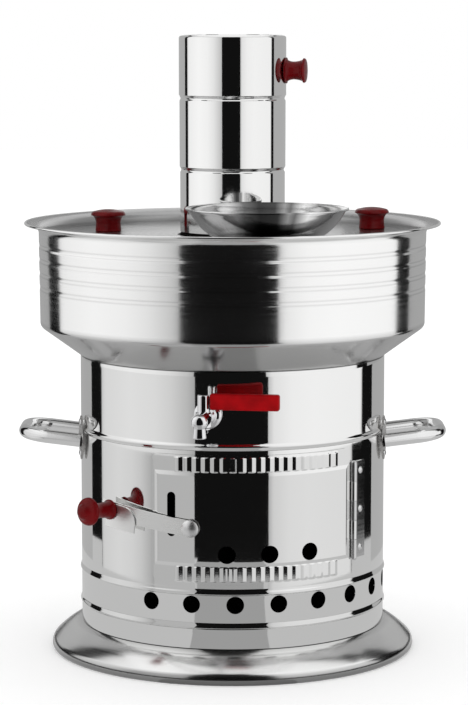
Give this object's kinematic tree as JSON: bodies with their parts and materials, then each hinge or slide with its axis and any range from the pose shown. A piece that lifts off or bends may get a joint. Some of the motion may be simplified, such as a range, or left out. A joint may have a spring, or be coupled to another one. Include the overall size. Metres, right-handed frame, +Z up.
{
  "type": "wood-fired samovar",
  "caption": "Stainless steel samovar with a firebox and hinged door below, a water tank and wide basin above, a central chimney, a lid with a teapot dish, and a plug tap.",
  "frame": {"origin": "centre of the foot ring where it meets the table, on the axis of the body and chimney", "axes": "+Z up along the chimney, -Y the front with the fire door and the tap, +X towards the right-hand handle as seen from the front"},
  "size_m": [0.3512, 0.3433, 0.504],
  "materials": {
    "polished_steel": "mirror polished stainless",
    "plain_steel": "satin stainless",
    "cast_iron": "raw casting",
    "dark_red_knob": "gloss",
    "red_grip": "gloss",
    "chrome_tap": "chrome plated brass",
    "rubber": "matt silicone"
  },
  "bodies": {
    "samovar": {"base_skirt": "polished_steel", "ash_floor": "plain_steel", "firebox_shell": "polished_steel", "grate_ledge": "plain_steel", "fire_grate": "cast_iron", "tank_shell": "polished_steel", "tank_floor": "plain_steel", "fire_tube": "plain_steel", "basin": "polished_steel", "hinge_leaf": "plain_steel", "hinge_pin": "plain_steel", "hinge_rivets": "plain_steel", "latch_keeper": "plain_steel", "keeper_rivet": "plain_steel", "tap_body": "chrome_tap", "tap_gasket_outer": "rubber", "tap_gasket_inner": "rubber", "tap_lock_nut": "plain_steel", "handle_left": "polished_steel", "handle_right": "polished_steel", "handle_plates": "polished_steel", "handle_rivets": "plain_steel"},
    "chimney": {"chimney_pipe": "polished_steel", "chimney_knob": "dark_red_knob", "chimney_knob_screw": "plain_steel"},
    "lid": {"lid": "polished_steel", "lid_knob_left": "dark_red_knob", "lid_knob_right": "dark_red_knob", "lid_knob_screws": "plain_steel"},
    "dish": {"teapot_dish": "plain_steel"},
    "door": {"fire_door": "polished_steel", "latch_rivet": "plain_steel"},
    "latch": {"latch_strap": "plain_steel", "latch_catch": "plain_steel", "latch_knob": "dark_red_knob", "latch_knob_screw": "plain_steel"},
    "tap_cock": {"tap_plug": "chrome_tap", "tap_plug_nut": "plain_steel", "tap_lever": "plain_steel", "tap_grip": "red_grip"}
  },
  "joints": [
    {"name": "chimney_lift", "type": "slide", "parent": "samovar", "child": "chimney", "axis": [0, 0, 1], "range_m": [0, 0.1]},
    {"name": "lid_lift", "type": "slide", "parent": "samovar", "child": "lid", "axis": [0, 0, 1], "range_m": [0, 0.1]},
    {"name": "dish_lift", "type": "slide", "parent": "lid", "child": "dish", "axis": [0, 0, 1], "range_m": [0, 0.06]},
    {"name": "door_swing", "type": "hinge", "parent": "samovar", "child": "door", "pos_m": [0.0971, -0.08294, 0.127], "axis": [0, 0, 1], "range_deg": [0, 140]},
    {"name": "latch_lift", "type": "hinge", "parent": "door", "child": "latch", "pos_m": [-0.03318, -0.12383, 0.12], "axis": [0.2588, 0.9659, 0], "range_deg": [0, 16]},
    {"name": "tap_turn", "type": "hinge", "parent": "samovar", "child": "tap_cock", "pos_m": [-0.02243, -0.14831, 0.2105], "axis": [0, 0, -1], "range_deg": [0, 90]}
  ]
}
